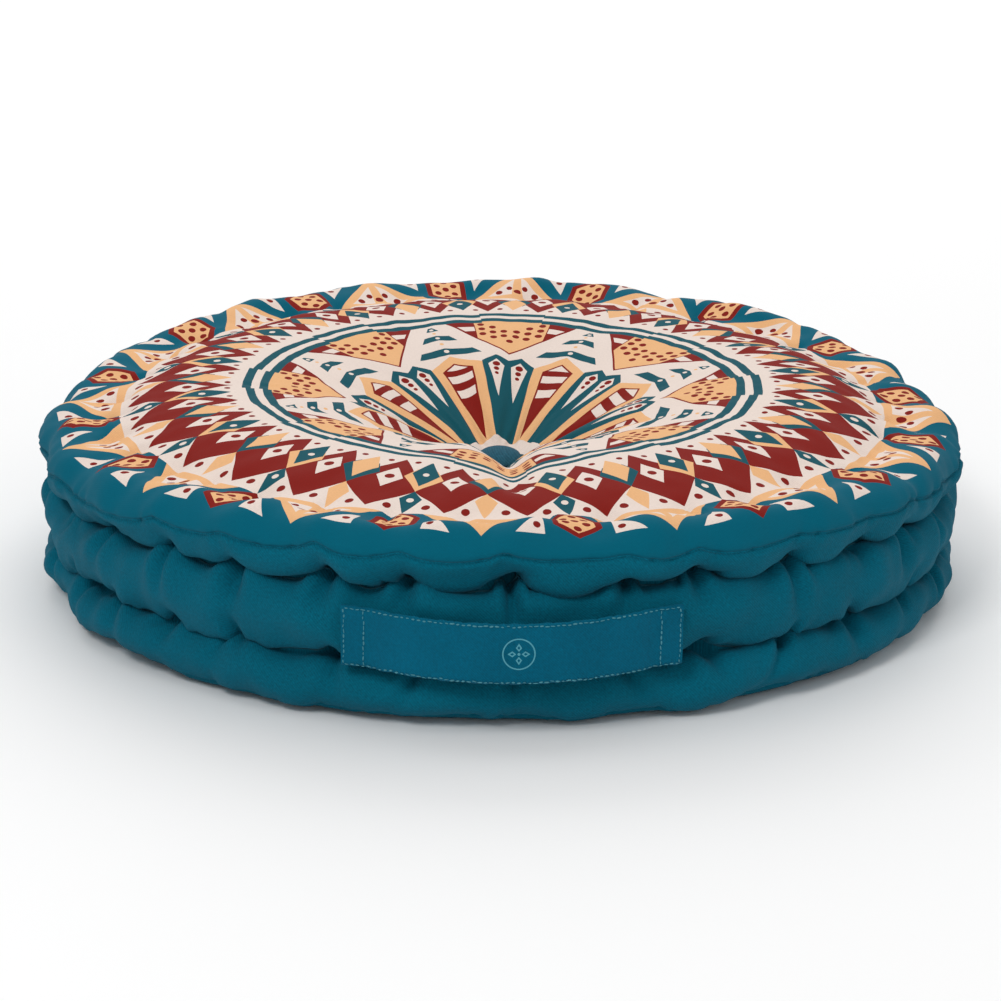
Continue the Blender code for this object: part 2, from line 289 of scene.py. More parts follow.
def fold(board, angle, half):
    """An angle folded to 0..half degrees about every multiple of twice half."""
    return board.math("PINGPONG", angle, radians(half))


def polar(board, angle, radius):
    return radius * board.math("SINE", angle), radius * board.math("COSINE", angle)


def paint_petals(board, ground, ring, petal, gap):
    """Eight teal petals with two ivory kites, and eight peach ones with a striped red core."""
    u, v = polar(board, petal, ring)
    teal = inside(board, u, v, [(0.060, 0.320), (0.031, 0.3495), (0.0, 0.332)])
    sector = petal < radians(10.9)
    ground = board.mix((teal > 0) & sector & (ring < 0.36), ground, PRINT_TEAL)
    kite = [(0.0161, 0.2044), (0.0453, 0.3067), (0.0284, 0.3308)]
    left = [(0.0284, 0.3308), (0.0076, 0.3099), (0.0161, 0.2044)]
    both = board.math("MINIMUM", inside(board, u, v, kite), inside(board, u, v, left))
    ground = board.mix(both > 0, ground, IVORY)
    dots = [((0.0266, 0.311), 0.0088), ((0.0251, 0.293), 0.0066), ((0.0237, 0.277), 0.0048)]
    ground = board.mix(discs(board, u, v, dots), ground, RED)

    u, v = polar(board, gap, ring)
    peach = inside(board, u, v, [(0.058, 0.320), (0.0, 0.369)])
    ground = board.mix((peach > 0) & (gap < radians(11.6)) & (ring < 0.372), ground, PEACH)
    core = inside(board, u, v, [(0.0, 0.104), (0.0385, 0.3085), (0.0, 0.339)])
    ground = board.mix(core > 0, ground, RED)
    inner = core > 0.0045
    stripe = between(v, 0.272, 0.294) | between(v, 0.226, 0.250) | (v > 0.3125)
    return board.mix(inner & stripe, ground, IVORY)


def paint_shields(board, ground, ring, petal, gap):
    """Eight dotted peach shields with striped red shoulders, and bars of teal between them."""
    u, v = polar(board, petal, ring)
    edge = beside(board, u, v, (0.0, 0.357), (0.177, 0.517))
    shield = board.lowest([edge, 0.544 - ring])
    ground = board.mix(shield > 0, ground, RED)
    cheek = petal > radians(10.5)
    stripe = cheek & between(ring, 0.479, 0.503) & (edge > 0.007)
    ground = board.mix(stripe, ground, IVORY)
    face = (shield > 0.0048) & (petal < radians(10.2))
    ground = board.mix(face, ground, PEACH)
    rows = [(8.4, (0.517, 0.490, 0.462)), (5.2, (0.500, 0.472, 0.443)), (1.9, (0.476, 0.450))]
    dots = [((distance * sin(radians(angle)), distance * cos(radians(angle))), 0.0086)
            for angle, distances in rows for distance in distances]
    dots.append(((0.0, 0.421), 0.0086))
    ground = board.mix(discs(board, u, v, dots), ground, RED)

    u, v = polar(board, gap, ring)
    width = (0.5255 - v) * 0.46
    sloped = v + u * 0.25
    bars = between(sloped, 0.442, 0.467) | between(sloped, 0.376, 0.403)
    bars = bars | between(v, 0.493, 0.516)
    ground = board.mix(bars & (u < width), ground, PRINT_TEAL)
    pale = [((0.0, 0.503), 0.0052), ((0.0, 0.4535), 0.0056), ((0.0, 0.390), 0.0062)]
    ground = board.mix(discs(board, u, v, pale), ground, IVORY)
    warm = [((0.0, 0.4805), 0.0045), ((0.0, 0.4225), 0.005)]
    return board.mix(discs(board, u, v, warm), ground, PEACH)


def paint_ring(board, ground, ring, petal):
    """Two teal lines round the middle, stepped where the shields end."""
    stepped = ring + (petal > radians(7.8)) * 0.008
    lines = between(stepped, 0.536, 0.556) | between(stepped, 0.574, 0.594)
    return board.mix(lines & (stepped > 0.53), ground, PRINT_TEAL)


def paint_diamonds(board, ground, ring, sixteenth):
    """Thirty-two red diamonds, with teal and peach columns between them by turns."""
    half = radians(5.625)
    column = board.math("PINGPONG", sixteenth, half)
    teal_turn = sixteenth > half
    rhomb_colour = board.mix(teal_turn, PEACH, PRINT_TEAL)
    flank_colour = board.mix(teal_turn, PRINT_TEAL, PEACH)
    u, v = polar(board, column, ring)
    across, along = polar(board, half - column, ring)
    tips = inside(board, across, along, [(0.0, 0.612), (0.040, 0.678), (0.0745, 0.755), (0.0, 0.832)])
    ground = board.mix((tips > 0) & between(ring, 0.6, 0.85), ground, RED)
    window = inside(board, across, along, [(0.0, 0.664), (0.0275, 0.710), (0.0, 0.756)])
    ground = board.mix(window > 0, ground, IVORY)
    ground = board.mix(disc(board, across, along, (0.0, 0.710), 0.0098), ground, RED)
    crossing = 0.757
    flank = inside(board, u, v, [(0.0, 0.622), (0.0335, 0.680), (0.043, 0.698), (0.0, crossing)])
    ground = board.mix((flank > 0) & (v > 0.66), ground, flank_colour)
    rhomb = inside(board, u, v, [(0.0, 0.622), (0.0305, 0.680), (0.0, 0.736)])
    ground = board.mix(rhomb > 0, ground, rhomb_colour)
    kite = inside(board, u, v, [(0.0, crossing), (0.0235, 0.786), (0.0, 0.842)])
    ground = board.mix(kite > 0, ground, rhomb_colour)
    pale = discs(board, u, v, [((0.0, 0.680), 0.0072), ((0.0, 0.789), 0.0075)])
    ground = board.mix(pale & teal_turn, ground, IVORY)
    aside = radians(2.85)
    dots = [((distance * sin(aside), distance * cos(aside)), radius)
            for distance, radius in ((0.628, 0.0068), (0.818, 0.0088))]
    return board.mix(discs(board, u, v, dots), ground, RED)


def paint_border(board, ground, ring, sixteenth):
    """Dotted hexagons on teal, peach gables with ivory panes, and solid teal outside them."""
    outside = ring > 0.846
    ground = board.mix(outside, ground, TEAL)
    u, v = polar(board, sixteenth, ring)
    gable = inside(board, u, v, [(0.128, 0.830), (0.0, 0.970)])
    ground = board.mix((gable > 0) & outside, ground, PEACH)
    panes = (gable > 0.019) & (u > 0.006 + (0.95 - v) * 0.10)
    ground = board.mix(panes & (v > 0.862), ground, IVORY)
    dots = [((0.020, 0.893), 0.0075), ((0.046, 0.876), 0.0085), ((0.0, 0.878), 0.0095)]
    ground = board.mix(discs(board, u, v, dots), ground, RED)

    u, v = polar(board, radians(11.25) - sixteenth, ring)
    pane = board.lowest([beside(board, u, v, (0.068, 0.896), (0.128, 0.958)), u - 0.068, 0.957 - v])
    ground = board.mix(pane > 0, ground, IVORY)
    ground = board.mix(disc(board, u, v, (0.083, 0.938), 0.0075), ground, RED)
    hexagon = inside(board, u, v, [(0.0, 0.842), (0.046, 0.872), (0.048, 0.932), (0.0, 0.966)])
    ground = board.mix(hexagon > 0, ground, RED)
    ground = board.mix(hexagon > 0.012, ground, PEACH)
    dots = [((0.0, 0.938), 0.0078), ((0.020, 0.917), 0.0078), ((0.0, 0.904), 0.0078),
            ((0.020, 0.888), 0.0078), ((0.0, 0.870), 0.0078)]
    return board.mix(discs(board, u, v, dots), ground, RED)


def shaded(tint, share):
    return tuple(channel * share for channel in tint)


def woven(board, x, y, threads):
    """Height of a plain weave, 0 to 1, at so many threads in a metre."""
    across = board.math("SINE", x * (threads * pi))
    along = board.math("SINE", y * (threads * pi))
    return across * along * 0.5 + 0.5


def printed_cotton():
    """Cotton printed with a mandala of petals, shields, diamonds and hexagons."""
    board = Board("printed_cotton")
    x, y, _ = board.place("laid_flat")
    flat = board.join(x, y, 0.0)
    hand = board.noise(flat, 26.0, 1.0)
    other = board.noise(board.join(y, x, 0.3), 26.0, 1.0)
    px = (x + (hand - 0.5) * 0.0030 - PRINT_OFFSET) / RADIUS
    py = (y + (other - 0.5) * 0.0030) / RADIUS
    bare = board.math("SQRT", px * px + py * py)
    # the middle of the print is a little smaller than drawn, and its border wider
    ring = board.lowest([bare / 0.952, (bare - 0.6) * 0.935 + 0.63, (bare - 0.83) * 0.864 + 0.845])
    turned = board.math("ARCTAN2", px, py) + radians(PRINT_TURN)
    petal = fold(board, turned, 22.5)
    gap = radians(22.5) - petal
    sixteenth = fold(board, turned, 11.25)

    colour = board.mix(ring < 0.055, IVORY, PRINT_TEAL)
    colour = paint_petals(board, colour, ring, petal, gap)
    colour = board.mix(ring < 0.100, colour, IVORY)
    colour = board.mix(ring < 0.060, colour, PRINT_TEAL)
    colour = paint_shields(board, colour, ring, petal, gap)
    colour = paint_ring(board, colour, ring, petal)
    colour = paint_diamonds(board, colour, ring, sixteenth)
    colour = paint_border(board, colour, ring, sixteenth)
    colour = board.mix(ring > 0.972, colour, TEAL)

    threads = woven(board, x, y, 1500.0)
    mottle = board.noise(flat, 900.0, 2.0)
    dark = (mottle - 0.5) * 0.16 + (threads - 0.5) * 0.10 + 1.0
    shade = board.add("ShaderNodeMix", {"data_type": "RGBA", "blend_type": "MULTIPLY"},
                      {0: 1.0, 6: colour, 7: board.join(dark, dark, dark)}, 2)
    normal = board.bump(threads + mottle * 0.8, 0.12 * MM, 0.5)
    return board.finish(shade, mottle * 0.1 + 0.78, normal, COTTON_SHEEN)


def plain_cotton(name, tint, attribute="laid_flat", threads=1300.0):
    """Dyed twill: one colour, with a diagonal rib, slubs and faint wear."""
    board = Board(name)
    if attribute:
        x, y, s = board.place(attribute)
        round_way = board.math("ARCTAN2", x, y) * RADIUS
        flat = board.join(round_way, s, 0.0)
        u, v = round_way, s
    else:
        flat = board.object_place()
        u, _, v = board.split(flat)
    rib = board.rib((u + v) * (threads * pi))
    cross = board.rib((u - v * 0.5) * (threads * 1.7 * pi))
    slub = board.noise(flat, 700.0, 3.0, 0.65)
    patch = board.noise(flat, 18.0, 3.0)
    light = slub - 0.5 + (rib - 0.5) * 0.2 + (patch - 0.5) * 0.35
    factor = board.math("MULTIPLY_ADD", light, 1.3, 0.5)
    colour = board.mix(factor, shaded(tint, 0.62), shaded(tint, 1.35))
    normal = board.bump(rib * 0.6 + cross * 0.3 + slub * 1.8, 0.2 * MM, 0.8)
    return board.finish(colour, slub * 0.15 + 0.72, normal, COTTON_SHEEN)


def strap_cotton():
    """The strap's close twill, with a small woven flower in a ring on its middle."""
    board = Board("strap_cotton")
    place = board.object_place()
    x, _, z = board.split(place)
    rib = board.rib((x + z) * (1500.0 * pi))
    slub = board.noise(place, 900.0, 3.0, 0.65)
    patch = board.noise(place, 35.0, 3.0)
    light = slub - 0.5 + (rib - 0.5) * 0.2 + (patch - 0.5) * 0.5
    colour = board.mix(light * 1.2 + 0.5, shaded(TEAL_STRAP, 0.66), shaded(TEAL_STRAP, 1.35))
    u, w = x - EMBLEM_X, z - EMBLEM_HEIGHT
    reach = board.math("SQRT", u * u + w * w)
    turned = board.math("PINGPONG", board.math("ARCTAN2", u, w), pi / 4)
    across, along = polar(board, turned, reach)
    line = 0.32 * MM
    ring_line = abs(reach - EMBLEM_RADIUS) < line
    petal = inside(board, across, along, [(0, 1.3 * MM), (1.5 * MM, 3.1 * MM), (0, 5.4 * MM)])
    emblem = ring_line | (abs(petal - line) < line) | (reach < 0.7 * MM)
    colour = board.mix(emblem * 0.9, colour, PALE_THREAD)
    wrinkle = board.noise(board.join(x, 0.0, z * 0.35), 240.0, 2.0)
    height = rib * 0.5 + slub * 1.2 + emblem * 0.8 + wrinkle * 5.0
    return board.finish(colour, slub * 0.15 + 0.7, board.bump(height, 0.14 * MM, 0.6), COTTON_SHEEN)


def spun_thread(name, tint):
    """Two-ply thread: a slanting twist, with painted highlight on its crowns and painted shade between
    them.
    """
    board = Board(name)
    place = board.object_place()
    x, y, z = board.split(place)
    twist = board.rib((x + y + z) * 9000.0)
    fuzz = board.noise(place, 1500.0, 2.0)
    patch = board.noise(place, 260.0, 2.0)
    # the twist lightens the colour on its crowns and darkens it between them, a painted highlight and
    # painted shade; patch is random tone
    colour = board.mix(twist * 0.3 + patch * 0.9 - 0.1, shaded(tint, 0.45), tint)
    normal = board.bump(twist + fuzz, 0.1 * MM, 0.5)
    return board.finish(colour, fuzz * 0.2 + 0.6, normal, COTTON_SHEEN)


def grained(name, tint, dark, noise, rough, relief, constants=()):
    """One colour with a fine grain that darkens it, roughens it and stands proud."""
    board = Board(name)
    grain = board.noise(board.object_place(), *noise)
    colour = board.mix(grain, shaded(tint, dark), tint)
    share, least = rough
    return board.finish(colour, grain * share + least, board.bump(grain, *relief), constants)


# ---------------------------------------------------------------- shaping tools


def clear_selection():
    if bpy.context.object and bpy.context.object.mode != "OBJECT":
        bpy.ops.object.mode_set(mode="OBJECT")
    bpy.ops.object.select_all(action="DESELECT")


def chosen(piece):
    """Makes a piece the one that operators act on."""
    clear_selection()
    piece.select_set(True)
    bpy.context.view_layer.objects.active = piece
    return piece


@contextmanager
def editing(piece, mode="VERT", select="SELECT"):
    """Edit mode on one piece, with all of it selected, none of it, or what already is."""
    chosen(piece)
    # set before edit mode starts, which otherwise spreads what is selected
    bpy.context.tool_settings.mesh_select_mode = [mode == kind for kind in ("VERT", "EDGE", "FACE")]
    bpy.ops.object.mode_set(mode="EDIT")
    if select:
        bpy.ops.mesh.select_all(action=select)
    yield
    bpy.ops.object.mode_set(mode="OBJECT")


def drawn_line(name, points):
    """A chain of edges through points, drawn by extruding one vertex."""
    clear_selection()
    bpy.ops.mesh.primitive_plane_add(size=1 * MM, location=points[0])
    piece = bpy.context.object
    piece.name = name
    bpy.ops.object.transform_apply(location=True, rotation=True, scale=True)
    with editing(piece):
        bpy.ops.mesh.merge(type="CENTER")
        for start, end in zip(points, points[1:]):
            step = Vector(end) - Vector(start)
            bpy.ops.mesh.extrude_region_move(TRANSFORM_OT_translate={"value": step})
    return piece


def spun(piece, steps):
    """The chain turned once round the cushion's axis, with its seam closed."""
    with editing(piece):
        bpy.ops.mesh.spin(steps=steps, angle=2 * pi, center=(0, AXIS_Y, 0), axis=(0, 0, 1))
        bpy.ops.mesh.select_all(action="SELECT")
        bpy.ops.mesh.remove_doubles(threshold=0.02 * MM)
        bpy.ops.mesh.normals_make_consistent(inside=False)
    return piece


def numbers(rows, key):
    """One number of every row of a mesh's table."""
    values = np.empty(len(rows), int)
    rows.foreach_get(key, values)
    return values


def triples(rows, key):
    """One vector of every row of a mesh's table."""
    values = np.empty(len(rows) * 3)
    rows.foreach_get(key, values)
    return values.reshape(-1, 3)


def corners_of(piece):
    return triples(piece.data.vertices, "co")


def outward(piece):
    """Every point's outward direction."""
    return triples(piece.data.vertices, "normal")


def laid_places(piece):
    """Where every point lies on the flat cloth."""
    return triples(piece.data.attributes["laid_flat"].data, "vector")


def move_corners(piece, points):
    piece.data.vertices.foreach_set("co", np.asarray(points, np.float32).ravel())
    piece.data.update()


def around(points):
    """How far points lie across, behind and away from the cushion's axis."""
    across, back = points[:, 0], points[:, 1] - AXIS_Y
    return across, back, np.hypot(across, back)


def widen(points, factor):
    """Moves points away from the cushion's axis, or towards it."""
    points[:, 0] *= factor
    points[:, 1] = AXIS_Y + (points[:, 1] - AXIS_Y) * factor


def select_none(*parts):
    for part in parts:
        part.foreach_set("select", np.zeros(len(part), bool))


def face_outwards(piece):
    with editing(piece):
        bpy.ops.mesh.normals_make_consistent(inside=False)
    return piece


def apply_modifier(piece, kind, **settings):
    chosen(piece)
    modifier = piece.modifiers.new(kind.lower(), kind)
    for key, value in settings.items():
        setattr(modifier, key, value)
    bpy.ops.object.modifier_apply(modifier=modifier.name)
    return piece


def smooth(piece):
    chosen(piece)
    bpy.ops.object.shade_smooth()
    return piece


def wear(piece, material):
    piece.data.materials.clear()
    piece.data.materials.append(material)
    return piece


def declare(piece, node, slot):
    """Makes a piece move with the cushion and hides the node that it replaces; slot is not used."""
    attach(piece, "cushion")
    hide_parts(node)


# ---------------------------------------------------------------- the sewn cover


def smooth_line(points, step):
    """Points at even distances along a Catmull-Rom curve through the given ones."""
    points = np.array(points)
    padded = np.vstack([2 * points[0] - points[1], points, 2 * points[-1] - points[-2]])
    fine = []
    for a, b, c, d in zip(padded, padded[1:], padded[2:], padded[3:]):
        for t in np.linspace(0, 1, 40, endpoint=False):
            fine.append(0.5 * (2 * b + (c - a) * t + (2 * a - 5 * b + 4 * c - d) * t**2
                               + (3 * b - a - 3 * c + d) * t**3))
    fine = np.array([*fine, points[-1]])
    length = np.concatenate([[0], np.cumsum(np.linalg.norm(np.diff(fine, axis=0), axis=1))])
    count = max(2, round(length[-1] / step))
    places = np.linspace(0, length[-1], count + 1)
    return np.stack([np.interp(places, length, fine[:, axis]) for axis in (0, 1)], axis=1)


def top_outline():
    """From the hole under the button out over dimple, crown, ring groove and edge roll."""
    floor = BUTTON_LOW.z - 0.3 * MM
    shape = [(14, 0.5), (24, 4.5), (36, 12), (50, 20), (64, 28), (80, 34.5), (98, 39.5),
             (120, 43), (146, 45.2), (170, 45.6), (186, 43.8), (198, 39.5), (205, 37.2),
             (209.5, 36.0), (214, 36.6), (220, 38.8), (227, 41.4), (234, 42.4), (241, 40.6),
             (246.5, 36.5), (249.2, 32.0)]
    line = [(5 * MM, floor), (BUTTON_RADIUS, floor)]
    line += [(r * MM, floor + z * MM) for r, z in shape]
    return [*line, (RADIUS - 0.6 * MM, SEAM_HEIGHT)]


def band_outline():
    """From the upper seam down over the rolls to the lower seam, through both grooves."""
    seam, upper, lower, low = SEAM_HEIGHT, UPPER_GROOVE, LOWER_GROOVE, LOWER_SEAM_HEIGHT
    belly = (upper + lower) / 2
    deep = (RADIUS - GROOVE_RADIUS) / MM
    # how far inside the overall radius, and how far above a height, in mm
    rows = [(0.6, seam, 0), (1.2, seam, -5), (4.0, seam, -10), (9.0, upper, 1.8),
            (deep, upper, 0), (8.5, upper, -1.8), (4.0, upper, -8.5), (2.2, belly, 4),
            (2.2, belly, -4), (4.5, lower, 8.5), (9.5, lower, 1.8), (deep, lower, 0),
            (9.5, lower, -1.8), (4.0, lower, -8.0), (1.5, lower, -14.0), (2.5, low, 6), (8.5, low, 0)]
    return [(RADIUS - inset * MM, level + rise * MM) for inset, level, rise in rows]


def base_outline():
    """From the lower seam in over the flat to the dimple of the button underneath."""
    low = LOWER_SEAM_HEIGHT
    floor = BASE_BUTTON_HIGH.z + 0.3 * MM
    return [(RADIUS - 8.5 * MM, low), (RADIUS - 14.5 * MM, 1.6 * MM), (RADIUS - 24 * MM, 0.2 * MM),
            (RADIUS - 40 * MM, 0), (150 * MM, 0), (76 * MM, 0), (60 * MM, 0.3 * MM),
            (44 * MM, 3.2 * MM), (30 * MM, 8.6 * MM), (20 * MM, floor - 0.5 * MM),
            (BUTTON_RADIUS, floor), (5 * MM, floor)]


def spread(centre, count, jitter, dice):
    """Angles round the cushion, evenly spaced but for a little jitter, in degrees."""
    step = 360 / count
    return centre + step * np.arange(count) + dice.uniform(-jitter, jitter, count)


def nearest(angle, marks):
    """Signed distance in degrees from each angle to its nearest mark, and that mark's number."""
    gaps = (angle[:, None] - marks[None, :] + 180) % 360 - 180
    index = np.abs(gaps).argmin(axis=1)
    return gaps[np.arange(len(angle)), index], index


def bell(distance, width):
    return np.exp(-((distance / width) ** 2))


def cusp(distance, width):
    """1 at the mark, with a sharp tip."""
    return np.exp(-np.abs(distance) / width)


def ramp(value, low, high):
    """0 below low, 1 above high, smooth between."""
    share = np.clip((value - low) / (high - low), 0, 1)
    return share * share * (3 - 2 * share)


def waves(angle, parts, dice):
    """A gentle irregular wave round the cushion, between about -1 and 1."""
    total = np.zeros_like(angle)
    for turns, size in parts:
        total += size * np.sin(np.radians(angle) * turns + dice.uniform(0, 2 * pi))
    return total


def pulled(angle, marks, strengths):
    """How far each point is from its nearest stitch, that stitch's strength, and the sag."""
    gap, mark = nearest(angle, marks)
    share = np.clip(np.abs(gap) / (180 / STITCHES), 0, 1)
    return gap * TURN, strengths[mark], np.sin(share * pi / 2) ** 0.8


def rise_and_fall(value, rise, fall):
    """1 from the end of the rise to the start of the fall, both in mm."""
    (low, full), (high, gone) = rise, fall
    return ramp(value, low * MM, full * MM) * (1 - ramp(value, high * MM, gone * MM))


dice = np.random.default_rng(8)
upper_marks = spread(FIRST_STITCH, STITCHES, 2.0, dice)
lower_marks = spread(FIRST_STITCH + 1.5, STITCHES, 2.0, dice)
ring_marks = spread(FIRST_STITCH + 4.0, RING_STITCHES, 1.5, dice)
upper_strength = dice.uniform(0.35, 1.35, STITCHES)
lower_strength = dice.uniform(0.35, 1.3, STITCHES)
ring_strength = dice.uniform(0.5, 1.2, RING_STITCHES)


class Cover:
    """The outline's rows and what is known of each point of the cover."""

    def __init__(self):
        top = smooth_line(top_outline(), ROW)
        band = smooth_line(band_outline(), ROW * 0.8)
        base = smooth_line(base_outline(), ROW * 1.8)
        self.line = np.vstack([top, band[1:], base[1:]])
        steps = np.linalg.norm(np.diff(self.line, axis=0), axis=1)
        self.along = np.concatenate([[0], np.cumsum(steps)])
        self.upper_seam = self.along[len(top) - 1]
        self.lower_seam = self.along[len(top) + len(band) - 2]
        heights = self.line[:, 1]
        rows = np.arange(len(self.line))
        in_band = rows[(rows >= len(top)) & (rows < len(top) + len(band) - 2)]
        self.upper_groove, self.lower_groove = (
            self.along[in_band[np.abs(heights[in_band] - groove).argmin()]]
            for groove in (UPPER_GROOVE, LOWER_GROOVE))
        self.ring_groove = self.along[np.abs(self.line[: len(top), 0] - RING_RADIUS).argmin()]


def build_cover_mesh(cover):
    """The whole cover as one closed skin, with its flat place kept on every point."""
    points = [(0, AXIS_Y - r, z) for r, z in cover.line]
    return spun(drawn_line("cover", points), TURNS)


def measure_cover(piece, cover):
    """Angle from the front, distance along the outline, radius and height of every point."""
    points = corners_of(piece)
    across, back, reach = around(points)
    angle = np.degrees(np.arctan2(across, -back))
    best = np.full(len(points), np.inf)
    along = np.zeros(len(points))
    for (radius, level), distance in zip(cover.line, cover.along):
        gap = np.hypot(reach - radius, points[:, 2] - level)
        closer = gap < best
        best[closer] = gap[closer]
        along[closer] = distance
    return angle, along, reach, points[:, 2].copy()


def shape_cover(angle, along, reach, height, cover):
    """Pulls in the stitches and lets the rolls sag between them; returns radius and height."""
    reach, height = reach.copy(), height.copy()
    local = np.random.default_rng(21)

    # the whole cushion is a little uneven
    side = ramp(along, cover.ring_groove, cover.upper_seam)
    reach += 1.6 * MM * side * (waves(angle, [(2, 0.5), (3, 0.4), (5, 0.3)], local) - 0.6)
    crown = bell(reach - 160 * MM, 60 * MM) * (along < cover.ring_groove)
    height += 1.2 * MM * crown * (waves(angle, [(2, 0.5), (3, 0.6), (5, 0.4)], local) - 0.8)

    # upper groove: pinched up at each stitch, sagging between
    gap, strength, sag = pulled(angle, upper_marks, upper_strength)
    near = bell(along - cover.upper_groove, 13 * MM)
    height += near * (5.0 * MM * strength * (1 - sag) - 4.0 * MM * sag)
    lip = bell(along - (cover.upper_groove - 9 * MM), 8 * MM)
    reach += lip * 2.2 * MM * (sag - 0.5)
    below = along - cover.upper_groove
    reach -= STITCH_PULL * strength * bell(gap, 6 * MM) * bell(below, 9 * MM)
    pleat = cusp(gap, 3.0 * MM) * rise_and_fall(below, (-4, 2), (6, 24))
    reach -= 3.4 * MM * strength * pleat

    # lower groove
    gap, strength, sag = pulled(angle, lower_marks, lower_strength)
    near = bell(along - cover.lower_groove, 11 * MM)
    height += near * (2.4 * MM * strength * (1 - sag) - 2.0 * MM * sag)
    under = along - cover.lower_groove
    reach -= STITCH_PULL * strength * bell(gap, 6 * MM) * bell(under, 8 * MM)
    pleat = cusp(gap, 3.0 * MM) * rise_and_fall(-under, (-4, 2), (5, 20))
    reach -= 2.6 * MM * strength * pleat
    pleat = cusp(gap + under * 0.5, 3.2 * MM) * rise_and_fall(under, (-2, 3), (8, 24))
    reach -= 2.2 * MM * strength * pleat

    # the edge seam waves and is lifted at the stitches
    gap, mark = nearest(angle, upper_marks)
    lift = upper_strength[mark] * cusp(gap * TURN + 3 * MM, 7 * MM) - 0.5
    seam = bell(along - cover.upper_seam, 13 * MM)
    wave = waves(angle, [(5, 0.6), (9, 0.5), (14, 0.4)], local)
    height += seam * (5.0 * MM * lift + 1.6 * MM * wave)

    # both flanks have settled lower than the front
    flank = np.sin(np.radians(angle)) ** 4
    settled = ramp(along, cover.ring_groove - 30 * MM, cover.upper_seam - 10 * MM)
    settled = settled * (1 - ramp(along, cover.lower_groove, cover.lower_seam - 6 * MM))
    height -= FLANK_DROP * flank * settled * np.clip(height / SEAM_HEIGHT, 0, 1)

    # the ring stitched into the top puckers the roll outside it
    gap, mark = nearest(angle, ring_marks)
    strength = ring_strength[mark]
    ring = bell(along - cover.ring_groove, 7 * MM)
    height += ring * (1.6 * MM - 3.6 * MM * strength * bell(gap * TURN, 7 * MM))
    roll = ramp(along, cover.ring_groove - 18 * MM, cover.ring_groove)
    roll = roll * (1 - ramp(along, cover.ring_groove + 18 * MM, cover.ring_groove + 42 * MM))
    height -= 1.8 * MM * strength * cusp(gap * TURN, 4.5 * MM) * roll

    # folds that run out from the button, and the deep crease to the front
    tuft = rise_and_fall(reach, (13, 26), (40, 120))
    height += 3.0 * MM * tuft * waves(angle, [(7, 0.7), (4, 0.5), (11, 0.5)], local)
    wide = (4 + 0.075 * reach / MM) * MM
    away = reach * np.sin(np.radians(angle - VALLEY_ANGLE))
    front = np.cos(np.radians(angle)) > 0
    valley = 1 / (1 + (away / wide) ** 2) * front
    valley = valley * rise_and_fall(reach, (20, 70), (150, 198))
    height -= VALLEY_DEPTH * valley * (along < cover.ring_groove)
    return reach, np.maximum(height, 0)


def place_round(angle, reach, height):
    turned = np.radians(angle)
    return np.stack([reach * np.sin(turned), AXIS_Y - reach * np.cos(turned), height], axis=1)


def inflate(piece, rest, weights):
    """Fills the cover by cloth simulation; weights hold the stitches and the base."""
    start = corners_of(piece)
    chosen(piece)
    piece.shape_key_add(name="start")
    cut = piece.shape_key_add(name="cut")
    cut.data.foreach_set("co", np.asarray(rest, np.float32).ravel())
    cut.value = 0.0
    held = piece.vertex_groups.new(name="held")
    for level in np.unique(weights):
        held.add(np.flatnonzero(weights == level).tolist(), float(level), "REPLACE")
    cloth = piece.modifiers.new("cloth", "CLOTH")
    cotton = cloth.settings
    cotton.quality = 6
    cotton.mass = 0.12
    cotton.tension_stiffness = 20
    cotton.compression_stiffness = 20
    cotton.shear_stiffness = 8
    cotton.bending_stiffness = 0.6
    cotton.vertex_group_mass = "held"
    cotton.pin_stiffness = 2.0
    cotton.rest_shape_key = cut
    cotton.use_pressure = True
    cotton.uniform_pressure_force = 6.0
    cotton.effector_weights.gravity = 0
    cloth.collision_settings.use_collision = False
    cloth.point_cache.frame_start = 1
    cloth.point_cache.frame_end = FILL_FRAMES
    for number in range(1, FILL_FRAMES + 1):
        bpy.context.scene.frame_set(number)
    state = piece.evaluated_get(bpy.context.evaluated_depsgraph_get())
    points = corners_of(state)
    piece.modifiers.remove(cloth)
    piece.vertex_groups.clear()
    piece.shape_key_clear()
    bpy.context.scene.frame_set(1)
    moved = points - start
    length = np.linalg.norm(moved, axis=1, keepdims=True)
    moved *= np.minimum(1, CLOTH_TRAVEL / np.maximum(length, 1e-9))
    return start + moved


def seat_strap(piece):
    """Presses the band in where the strap's ends are sewn on."""
    points = corners_of(piece)
    across, back, reach = around(points)
    side = 1 - ramp(np.abs(across), SEWN_TO + 2 * MM, SEWN_TO + 16 * MM)
    aside = np.abs(points[:, 2] - GRIP_END_HEIGHT) - STRAP_WIDTH / 2
    level = 1 - ramp(aside, 1 * MM, 10 * MM)
    limit = SEAT - 0.5 * MM + 12 * MM * (1 - side * level)
    widen(points, np.where(back < 0, np.minimum(1, limit / np.maximum(reach, 1e-6)), 1))
    move_corners(piece, points)


def row_of(piece, distance):
    """Numbers of the points on one row of the cover, in order round it."""
    places = laid_places(piece)
    row = np.flatnonzero(np.abs(places[:, 2] - distance) < 0.01 * MM)
    return row[np.argsort(np.arctan2(places[row, 0], -places[row, 1]))]


def crease_seams(piece, cover):
    """Draws the cloth in along both edge seams."""
    points, normals = corners_of(piece), outward(piece)
    for distance, depth in ((cover.upper_seam, 1.4 * MM), (cover.lower_seam, 1.1 * MM)):
        row = row_of(piece, distance)
        points[row] -= normals[row] * depth
    move_corners(piece, points)


